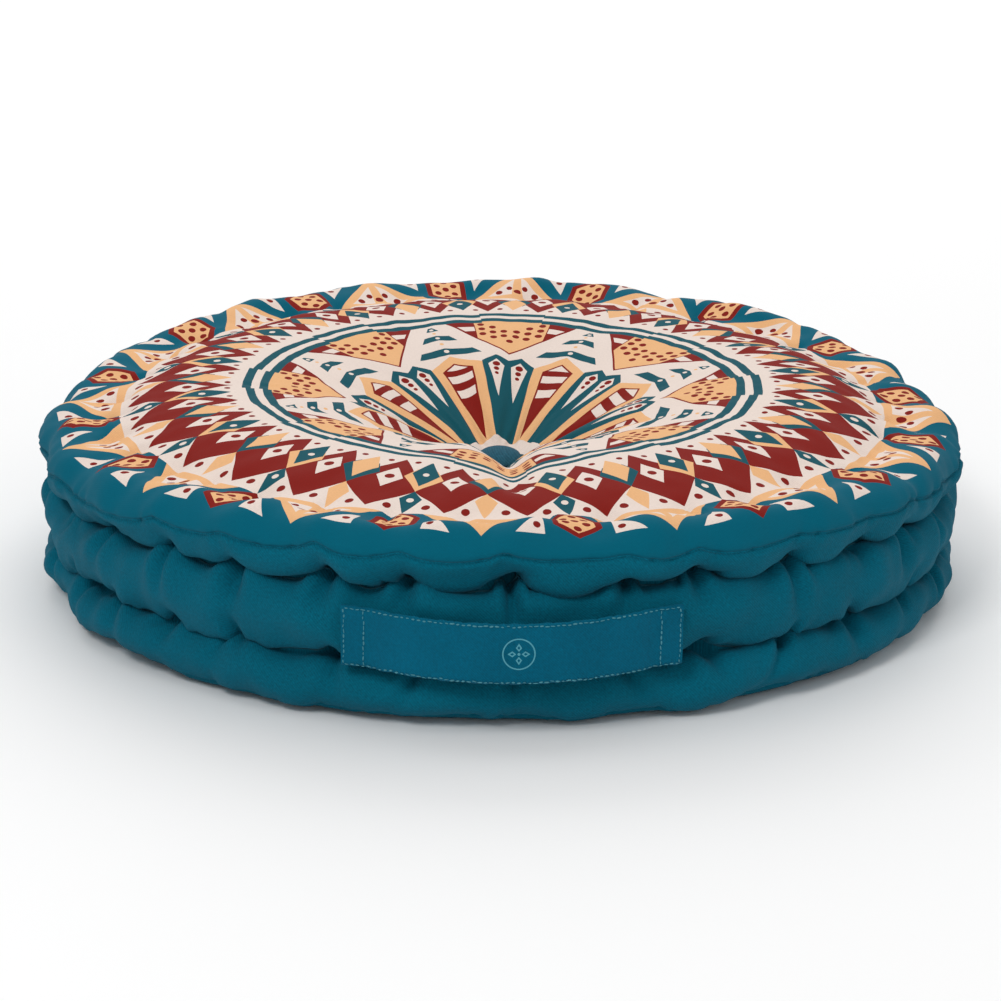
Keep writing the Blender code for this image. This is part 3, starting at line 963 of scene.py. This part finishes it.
def sharp_creases(cover):
    """Every fold of the cloth: start angle, start row, way, length, lean, depth, width."""
    dice = np.random.default_rng(40)
    folds = []

    def add(angle, row, way, length, lean, depth, width):
        folds.append((angle, row, way,
                      length * dice.uniform(0.6, 1.35) * MM, lean * dice.uniform(-1, 1),
                      depth * dice.uniform(0.55, 1.3) * MM, width * dice.uniform(0.75, 1.3) * MM))

    # length, lean, depth and width below and above each groove
    upper_folds = (30, 0.3, 8.0, 2.9), (17, 0.5, 4.2, 2.6)
    lower_folds = (26, 0.7, 6.5, 3.0), (20, 0.5, 6.5, 2.7)
    for marks, row, (below, above) in ((upper_marks, cover.upper_groove, upper_folds),
                                       (lower_marks, cover.lower_groove, lower_folds)):
        for angle in marks:
            add(angle, row, 1, *below)
            add(angle, row, -1, *above)
            beside_it = dice.choice([-1, 1]) * dice.uniform(1.3, 2.6)
            for chance, way, fold_sizes, shorter in ((0.55, 1, below, 0.6), (0.5, -1, above, 0.7)):
                if dice.uniform() < chance:
                    length, lean, depth, width = fold_sizes
                    add(angle + way * beside_it, row, way, shorter * length, lean, 0.7 * depth,
                        0.9 * width)
    for row, count, length, depth in ((cover.upper_seam, 74, 11, 1.3), (cover.lower_seam, 60, 12, 1.2)):
        for angle in spread(0, count, 1.8, dice):
            way = dice.choice([-1, 1])
            add(angle, row, way, length, 0.6, depth, 2.0)
            add(angle + dice.uniform(-1, 1), row, -way, 0.7 * length, 0.6, depth, 1.8)
    for angle in ring_marks:
        add(angle, cover.ring_groove, 1, 16, 0.4, 2.0, 2.2)
        add(angle + dice.uniform(-1, 1), cover.ring_groove, -1, 15, 0.5, 1.1, 2.2)
    return folds


def fold_cloth(piece, cover):
    """Presses the sharp folds into the fine mesh, each with a soft ridge on both sides."""
    points, normals, places = corners_of(piece), outward(piece), laid_places(piece)
    angle = np.degrees(np.arctan2(places[:, 0], -places[:, 1]))
    along = places[:, 2]
    radius = around(points)[2]
    depth = np.zeros(len(points))
    for start, row, way, length, lean, deep, width in sharp_creases(cover):
        ahead = (along - row) * way
        close = np.flatnonzero((ahead > -2 * MM) & (ahead < length)
                               & (np.abs((angle - start + 180) % 360 - 180) < 9))
        ahead = ahead[close]
        side = ((angle[close] - start + 180) % 360 - 180) * np.radians(1) * radius[close] - lean * ahead
        share = np.clip(ahead / length, 0, 1)
        spread_out = width * (1 + 0.6 * share)
        fade = ramp(ahead, -2 * MM, 2 * MM) * (1 - share) ** 1.1
        ridge = bell(np.abs(side) - 2.2 * spread_out, 1.3 * spread_out)
        depth[close] += deep * fade * (bell(side, spread_out) - 0.4 * ridge)
    depth += lumps(angle, along, radius) * np.where(along > cover.ring_groove, 1.0, 0.45)
    depth *= 1 - ramp(along, cover.lower_seam - 2 * MM, cover.lower_seam + 12 * MM)
    depth *= ramp(radius, BUTTON_RADIUS + 2 * MM, BUTTON_RADIUS + 14 * MM)
    points -= normals * depth[:, None]
    points[:, 2] = np.maximum(points[:, 2], 0)
    move_corners(piece, points)


def lumps(angle, along, radius):
    """Uneven filling felt through the cloth: many small waves in every direction."""
    dice = np.random.default_rng(77)
    total = np.zeros(len(angle))
    for _ in range(26):
        length = dice.uniform(16, 62) * MM
        way = dice.uniform(0, pi)
        turns = round(2 * pi * RADIUS * sin(way) / length)
        total += length * 0.0085 * np.sin(np.radians(angle) * turns + along * 2 * pi * cos(way) / length
                                          + dice.uniform(0, 2 * pi))
    return total * np.clip(radius / RADIUS, 0, 1)


def tube(name, path, radius, material, closed=True):
    """A round cord along a path, as a mesh."""
    curve = bpy.data.curves.new(name, "CURVE")
    curve.dimensions = "3D"
    curve.bevel_depth = radius
    curve.bevel_resolution = 2
    spline = curve.splines.new("POLY")
    spline.points.add(len(path) - 1)
    spline.points.foreach_set("co", np.column_stack([path, np.ones(len(path))]).ravel())
    spline.use_cyclic_u = closed
    piece = bpy.data.objects.new(name, curve)
    bpy.context.scene.collection.objects.link(piece)
    chosen(piece)
    bpy.ops.object.convert(target="MESH")
    return wear(smooth(bpy.context.object), material)


def build_lines(whole, cover, seam_cloth, twine):
    """The ridge of each edge seam, and the twine pulled into each side groove."""
    points, normals = corners_of(whole), outward(whole)
    seam, groove = (SEAM_TUBE, seam_cloth, "seam_cotton"), (TWINE_TUBE, twine, "tuft_twine")
    rows = (("upper_seam_ridge", cover.upper_seam, -0.2 * MM, "upper_edge_seam", seam),
            ("lower_seam_ridge", cover.lower_seam, -0.1 * MM, "lower_edge_seam", seam),
            ("upper_groove_twine", cover.upper_groove, 0.1 * MM, "upper_roll_twine", groove),
            ("lower_groove_twine", cover.lower_groove, 0.1 * MM, "lower_roll_twine", groove))
    for name, distance, proud, node, (radius, material, slot) in rows:
        row = row_of(whole, distance)
        path = points[row] + normals[row] * proud
        path[:, 2] = np.maximum(path[:, 2], radius)
        declare(tube(name, path, radius, material), node, slot)


# ---------------------------------------------------------------- buttons


def build_button(name, low, high, upright, material, node):
    """A cloth-covered dome with fine gathers at its rim."""
    radius, height = high.x, high.z - low.z
    shoulder = 0.22 * height
    dome = [(radius * sin(a), shoulder + (height - shoulder) * cos(a))
            for a in np.linspace(0, pi / 2, 15)]
    rim = [(0.15, 0.8), (0.8, 0.1), (2.2, 0.0), (2.3, 0.6), (1.3, 1.2)]
    outline = [*dome, *((radius - inset * MM, rise * MM) for inset, rise in rim),
               (radius - 1.1 * MM, shoulder)]
    inner = [(r * (1 - 0.9 * MM / radius), z - 0.9 * MM) for r, z in reversed(dome[:-1])]
    points = [(0, AXIS_Y - r, z) for r, z in [*outline, *inner]]
    piece = spun(drawn_line(name, points), 72)
    placed = corners_of(piece)
    across, back, reach = around(placed)
    turned = np.arctan2(across, back)
    gathers = 0.16 * MM * ramp(reach, 0.55 * radius, 0.95 * radius)
    gathers *= np.sin(13 * turned + np.sin(3 * turned))
    widen(placed, 1 + gathers / np.maximum(reach, 1e-6))
    placed[:, 2] = low.z + placed[:, 2] if upright else high.z - placed[:, 2]
    move_corners(piece, placed)
    declare(wear(smooth(face_outwards(piece)), material), node, "teal_cotton")


# ---------------------------------------------------------------- strap


def strap_front(x):
    """How far in front of the cushion's axis the strap's outer face lies at x."""
    sewn = np.sqrt(SEAT**2 - x**2) + TAB_THICKNESS
    bowed = GRIP_FRONT - (GRIP_FRONT - GRIP_END_FRONT) * (x / FREE_TO) ** 2
    share = ramp(np.abs(x), FREE_TO, SEWN_FROM + 2 * MM)
    return bowed * (1 - share) + sewn * share


def strap_middle(x):
    """Height of the strap's centre line at x."""
    sag = GRIP_HEIGHT - (GRIP_HEIGHT - GRIP_END_HEIGHT) * (x / FREE_TO) ** 2
    return np.where(np.abs(x) > SEWN_FROM, GRIP_END_HEIGHT + 0.2 * MM, sag)


def strap_thickness(x):
    share = ramp(np.abs(x), SEWN_FROM - 2 * MM, SEWN_FROM + 1 * MM)
    return STRAP_THICKNESS * (1 - share) + (TAB_THICKNESS - 0.1 * MM) * share


def divide_along(piece, axis, cuts):
    """Cuts every edge that runs along one axis."""
    mesh = piece.data
    select_none(mesh.vertices, mesh.edges, mesh.polygons)
    for edge in mesh.edges:
        run = mesh.vertices[edge.vertices[0]].co - mesh.vertices[edge.vertices[1]].co
        edge.select = abs(run[axis]) > 0.9 * run.length
    with editing(piece, "EDGE", None):
        bpy.ops.mesh.subdivide(number_cuts=cuts)


def build_strap_length(name, start, end, cuts, material, node):
    """A stretch of the folded sleeve between two places along the strap."""
    clear_selection()
    bpy.ops.mesh.primitive_cube_add(size=2)
    piece = bpy.context.object
    piece.name = name
    divide_along(piece, 0, cuts)
    divide_along(piece, 2, 30)
    divide_along(piece, 1, 3)
    unit = corners_of(piece)
    x = start + (end - start) * (unit[:, 0] + 1) / 2
    along = unit[:, 2]
    edge = np.clip((np.abs(along) - 0.93) / 0.07, 0, 1)
    fullness = np.sqrt(np.maximum(1 - edge**2, 0.02))
    sewn_line = bell((1 - np.abs(along)) * STRAP_WIDTH / 2 - THREAD_INSET, 0.9 * MM)
    dice = np.random.default_rng(5)
    ripple = x / MM * RIPPLE
    puckers = waves(ripple, [(7, 0.6), (11, 0.5), (17, 0.4)], dice)
    half = strap_thickness(x) / 2 * fullness * (1 - 0.12 * sewn_line)
    middle_front = strap_front(x) - strap_thickness(x) / 2
    billow = 0.12 * MM * puckers * (0.3 + np.abs(along) ** 3)
    edge_wave = waves(ripple, [(4, 0.6), (9, 0.5), (15, 0.4)], dice)
    edge_wave *= 0.28 * MM * np.abs(along) ** 6
    free = 1 - ramp(np.abs(x), FREE_TO - 6 * MM, FREE_TO + 6 * MM)
    front = middle_front - unit[:, 1] * half + billow * free
    height = strap_middle(x) + along * (STRAP_WIDTH / 2 - 0.3 * MM) + edge_wave * np.sign(along)
    placed = np.stack([x, AXIS_Y - front, height], axis=1)
    move_corners(piece, placed)
    wear(smooth(piece), material)
    chosen(piece)
    bpy.ops.object.shade_smooth_by_angle(angle=radians(50))
    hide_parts(node)
    return piece


def stitch_run(start, end, place):
    """Even stitches from start to end; place turns a distance into a point on the strap."""
    length = abs(end - start)
    count = max(2, round(length / STITCH_PITCH))
    return [place(start + (end - start) * (step + 0.5) / count) for step in range(count)]


def on_strap(x, offset):
    """A point on the strap's outer face and the face's direction there."""
    slope = (strap_front(x + 0.5 * MM) - strap_front(x - 0.5 * MM)) / MM
    point = Vector((x, AXIS_Y - strap_front(x) - 0.05 * MM, float(strap_middle(x)) + offset))
    return point, Vector((1, -slope, 0)).normalized()


def edge_runs(start, end, line):
    """Stitches along the strap's upper and lower edges; none of them stands upright."""
    return [(spot, False) for offset in (line, -line)
            for spot in stitch_run(start, end, lambda x: on_strap(x, offset))]


def build_stitches(name, spots, material):
    """Short raised stitches, copied from one, along the strap."""
    clear_selection()
    bpy.ops.mesh.primitive_uv_sphere_add(segments=8, ring_count=5, radius=1)
    piece = bpy.context.object
    piece.name = name
    shape = corners_of(piece)
    faces = [tuple(face.vertices) for face in piece.data.polygons]
    dice = np.random.default_rng(len(spots))
    points, polygons = [], []
    for number, ((spot, run), upright) in enumerate(spots):
        ahead = Vector((0, 0, 1)) if upright else run
        out = Vector((run.y, -run.x, 0)).normalized()
        side = ahead.cross(out)
        tilt = dice.uniform(-0.2, 0.2)
        ahead, side = (ahead + side * tilt).normalized(), (side - ahead * tilt).normalized()
        half = STITCH_LENGTH / 2 * dice.uniform(0.55, 1.1)
        thick = 0.33 * MM * dice.uniform(0.6, 1.4)
        axes = np.array([ahead * half, side * thick, out * 0.38 * MM])
        astray = np.array(side) * dice.normal(0, 0.2 * MM)
        points.append(shape @ axes + np.array(spot) + astray)
        polygons += [tuple(corner + number * len(shape) for corner in face) for face in faces]
    mesh = bpy.data.meshes.new(name)
    mesh.from_pydata(np.vstack(points).tolist(), [], polygons)
    piece.data = mesh
    wear(smooth(face_outwards(piece)), material)
    return piece


def build_strap(cloth, thread):
    """Grip, the two sewn-down ends with their leads, and all the stitching."""
    line = STRAP_WIDTH / 2 - THREAD_INSET
    grip = build_strap_length("strap_sleeve", -FREE_TO, FREE_TO, 90, cloth, "strap_grip")
    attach(grip, "handle")
    stitches = build_stitches("grip_thread", edge_runs(-FREE_TO, FREE_TO, line), thread)
    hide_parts("grip_stitching_upper", "grip_stitching_lower")
    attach(stitches, "handle")
    for side, word in ((-1, "left"), (1, "right")):
        near, far = side * FREE_TO, side * SEWN_TO
        ends = sorted((near, far))
        tab = build_strap_length(f"strap_end_{word}", *ends, 16, cloth, f"strap_tab_{word}")
        rows = edge_runs(near, far - side * THREAD_INSET, line)
        for x in (SEWN_FROM + 1.2 * MM, SEWN_TO - THREAD_INSET):
            rows += [(spot, True) for spot in stitch_run(-line, line, lambda z: on_strap(side * x, z))]
        stitches = build_stitches(f"tab_thread_{word}", rows, thread)
        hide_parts(f"tab_stitching_{word}")
        for piece in (tab, stitches):
            hinge = (side * SEWN_FROM, AXIS_Y - GRIP_END_FRONT, GRIP_END_HEIGHT)
            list(hinge[1:])
            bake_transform(piece)


def build_cover():
    cover = Cover()
    piece = build_cover_mesh(cover)
    angle, along, reach, height = measure_cover(piece, cover)
    rest = place_round(angle, reach, height)
    # where each point lies on the flat cloth: across, back, and distance along the outline
    turned = np.radians(angle)
    rising = slice(None, 60)
    spare = along - np.interp(ROLL_CREST, cover.line[rising, 0], cover.along[rising])
    over_crest = (along > cover.ring_groove) & (reach > ROLL_CREST - 1 * MM)
    flat_reach = np.where(over_crest & (along < cover.upper_seam + 1),
                          ROLL_CREST + np.maximum(spare, 0), reach)
    laid = np.stack([flat_reach * np.sin(turned), -flat_reach * np.cos(turned), along], axis=1)
    attribute = piece.data.attributes.new("laid_flat", "FLOAT_VECTOR", "POINT")
    attribute.data.foreach_set("vector", laid.astype(np.float32).ravel())
    move_corners(piece, place_round(angle, *shape_cover(angle, along, reach, height, cover)))
    weights = np.full(len(along), 0.06)     # how firmly each point is held
    weights[bell(along - cover.upper_seam, 6 * MM) > 0.5] = 0.2
    for marks, line in ((upper_marks, cover.upper_groove), (lower_marks, cover.lower_groove),
                        (ring_marks, cover.ring_groove)):
        gap, _ = nearest(angle, marks)
        near = np.hypot(gap * TURN, along - line) < 5 * MM
        weights[np.abs(along - line) < 3 * MM] = 0.4
        weights[near] = 1.0
    weights[reach < 16 * MM] = 1.0
    weights[(along > cover.lower_seam + 14 * MM)] = 0.9
    centre = np.array([0, AXIS_Y, 50 * MM])
    shaped = inflate(piece, centre + (rest - centre) * SLACK, weights)
    shaped[:, 2] = np.maximum(shaped[:, 2], 0)
    move_corners(piece, shaped)
    seat_strap(piece)
    build_filling(piece, cover)
    apply_modifier(piece, "SUBSURF", levels=1, render_levels=1)
    fold_cloth(piece, cover)
    crease_seams(piece, cover)
    seat_strap(piece)
    return smooth(piece), cover


def build_filling(skin, cover):
    """The fibre filling, one closed body just inside the cloth."""
    chosen(skin)
    bpy.ops.object.duplicate()
    piece = bpy.context.object
    piece.name = "fibre_filling"
    points = corners_of(piece) - outward(piece) * FILLING_INSET
    along = laid_places(piece)[:, 2]
    in_band = ramp(along, cover.ring_groove, cover.upper_seam)
    in_band *= 1 - ramp(along, cover.lower_seam - 9 * MM, cover.lower_seam + 20 * MM)
    widen(points, 1 - BAND_INSET / RADIUS * in_band)
    move_corners(piece, points)
    with editing(piece, select="DESELECT"):
        bpy.ops.mesh.select_non_manifold()
        bpy.ops.mesh.edge_face_add()
    fibre = grained("fibre_filling", FIBRE, 0.8, (160.0, 5.0, 0.7), (0.1, 0.85), (1.0 * MM, 0.5),
                    COTTON_SHEEN)
    declare(wear(smooth(piece), fibre), "fill_core", "fibre_filling")


def panel(whole, name, low, high, material, node, slot):
    """One cloth panel cut out of the whole cover, between two distances along its outline."""
    chosen(whole)
    bpy.ops.object.duplicate()
    piece = bpy.context.object
    piece.name = name
    along = laid_places(piece)[:, 2]
    mesh = piece.data
    corners, first = numbers(mesh.loops, "vertex_index"), numbers(mesh.polygons, "loop_start")
    centre = np.add.reduceat(along[corners], first) / numbers(mesh.polygons, "loop_total")
    select_none(mesh.vertices, mesh.edges)
    mesh.polygons.foreach_set("select", (centre < low) | (centre > high))
    with editing(piece, "FACE", None):
        bpy.ops.mesh.delete(type="FACE")
    apply_modifier(piece, "SOLIDIFY", thickness=CLOTH, offset=-1.0, use_even_offset=False)
    declare(wear(smooth(piece), material), node, slot)


# ---------------------------------------------------------------- camera, floor and light


def set_camera():
    turn, rise = radians(VIEW_TURN), radians(VIEW_ELEVATION)
    aim = Vector((0.9 * MM, AXIS_Y, AIM_HEIGHT))
    back = Vector((sin(turn) * cos(rise), -cos(turn) * cos(rise), sin(rise)))
    data = bpy.data.cameras.new("camera")
    data.lens = LENS
    data.sensor_width = 36
    camera = bpy.data.objects.new("camera", data)
    bpy.context.scene.collection.objects.link(camera)
    rotation = (-back).to_track_quat("-Z", "Y").to_matrix().to_4x4()
    roll = Matrix.Rotation(radians(VIEW_ROLL), 4, "Z")
    camera.matrix_world = Matrix.Translation(aim + back * VIEW_DISTANCE) @ rotation @ roll
    bpy.context.scene.camera = camera


def set_light():
    scene = bpy.context.scene
    scene.view_settings.view_transform = "Standard"
    world = bpy.data.worlds.new("studio")
    world.use_nodes = True
    sky = world.node_tree.nodes["Background"]
    sky.inputs["Color"].default_value = (1, 1, 1, 1)
    sky.inputs["Strength"].default_value = 0.45
    scene.world = world
    cushion, backdrop = Vector((0, 0, 0.04)), Vector((0, 4.2, 0))
    lamps = (("key", (-1.1, -1.9, 2.3), 0.9, 29, cushion),
             ("fill", (1.6, -1.8, 1.3), 2.0, 6, cushion),
             ("top", (0.2, 0.6, 2.6), 2.4, 15, cushion),
             ("backdrop", (0, 4.8, 2.6), 5.0, 140, backdrop))
    for name, place, size, power, aim in lamps:
        data = bpy.data.lights.new(name, "AREA")
        data.size = size
        data.energy = power
        lamp = bpy.data.objects.new(name, data)
        scene.collection.objects.link(lamp)
        lamp.location = place
        lamp.rotation_euler = (aim - Vector(place)).to_track_quat("-Z", "Y").to_euler()


def set_floor():
    clear_selection()
    bpy.ops.mesh.primitive_plane_add(size=40, location=(0, 0, -0.2 * MM))
    floor = bpy.context.object
    floor.name = "studio_floor"
    board = Board("studio_floor")
    grain = board.noise(board.object_place(), 3.0)
    colour = board.mix(grain, (0.95, 0.95, 0.95), (0.97, 0.97, 0.97))
    wear(floor, board.finish(colour, grain * 0.1 + 0.8))


# ---------------------------------------------------------------- all of it

set_camera()
set_light()
set_floor()
print_cloth = printed_cotton()
band_cloth = plain_cotton("teal_cotton", TEAL)
button_cloth = plain_cotton("button_cotton", BUTTON_TEAL, None)
seam_cloth = plain_cotton("seam_cotton", TEAL, None)
twine = spun_thread("tuft_twine", TWINE)
nylon = grained("black_nylon", NYLON, 0.6, (900.0, 3.0), (0.2, 0.45), (0.08 * MM, 0.5))
steel = grained("button_steel", STEEL, 0.8, (400.0, 3.0), (0.2, 0.28), (0.05 * MM, 0.4),
                {"Metallic": 1.0})

whole, cover = build_cover()
seam, hem, end = cover.upper_seam, cover.lower_seam, cover.along[-1] + 1
panel(whole, "top_cover", -1, seam, print_cloth, "top_panel", "printed_cotton")
panel(whole, "side_cover", seam, hem, band_cloth, "side_band", "teal_cotton")
panel(whole, "base_cover", hem, end, band_cloth, "base_panel", "teal_cotton")
build_lines(whole, cover, seam_cloth, twine)
bpy.data.objects.remove(whole)
build_button("top_button", BUTTON_LOW, BUTTON_HIGH, True, button_cloth, "top_button_cover")
build_button("base_button", BASE_BUTTON_LOW, BASE_BUTTON_HIGH, False, button_cloth, "base_button_cover")
build_strap(strap_cotton(), spun_thread("pale_thread", PALE_THREAD))
for finish, nodes in ((steel, ("top_button_shell", "base_button_shell")),
                      (nylon, ("top_button_back", "base_button_back", "strap_stiffener")),
                      (twine, ("tuft_twine",))):
    for node in nodes:
        wear(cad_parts[node], finish)
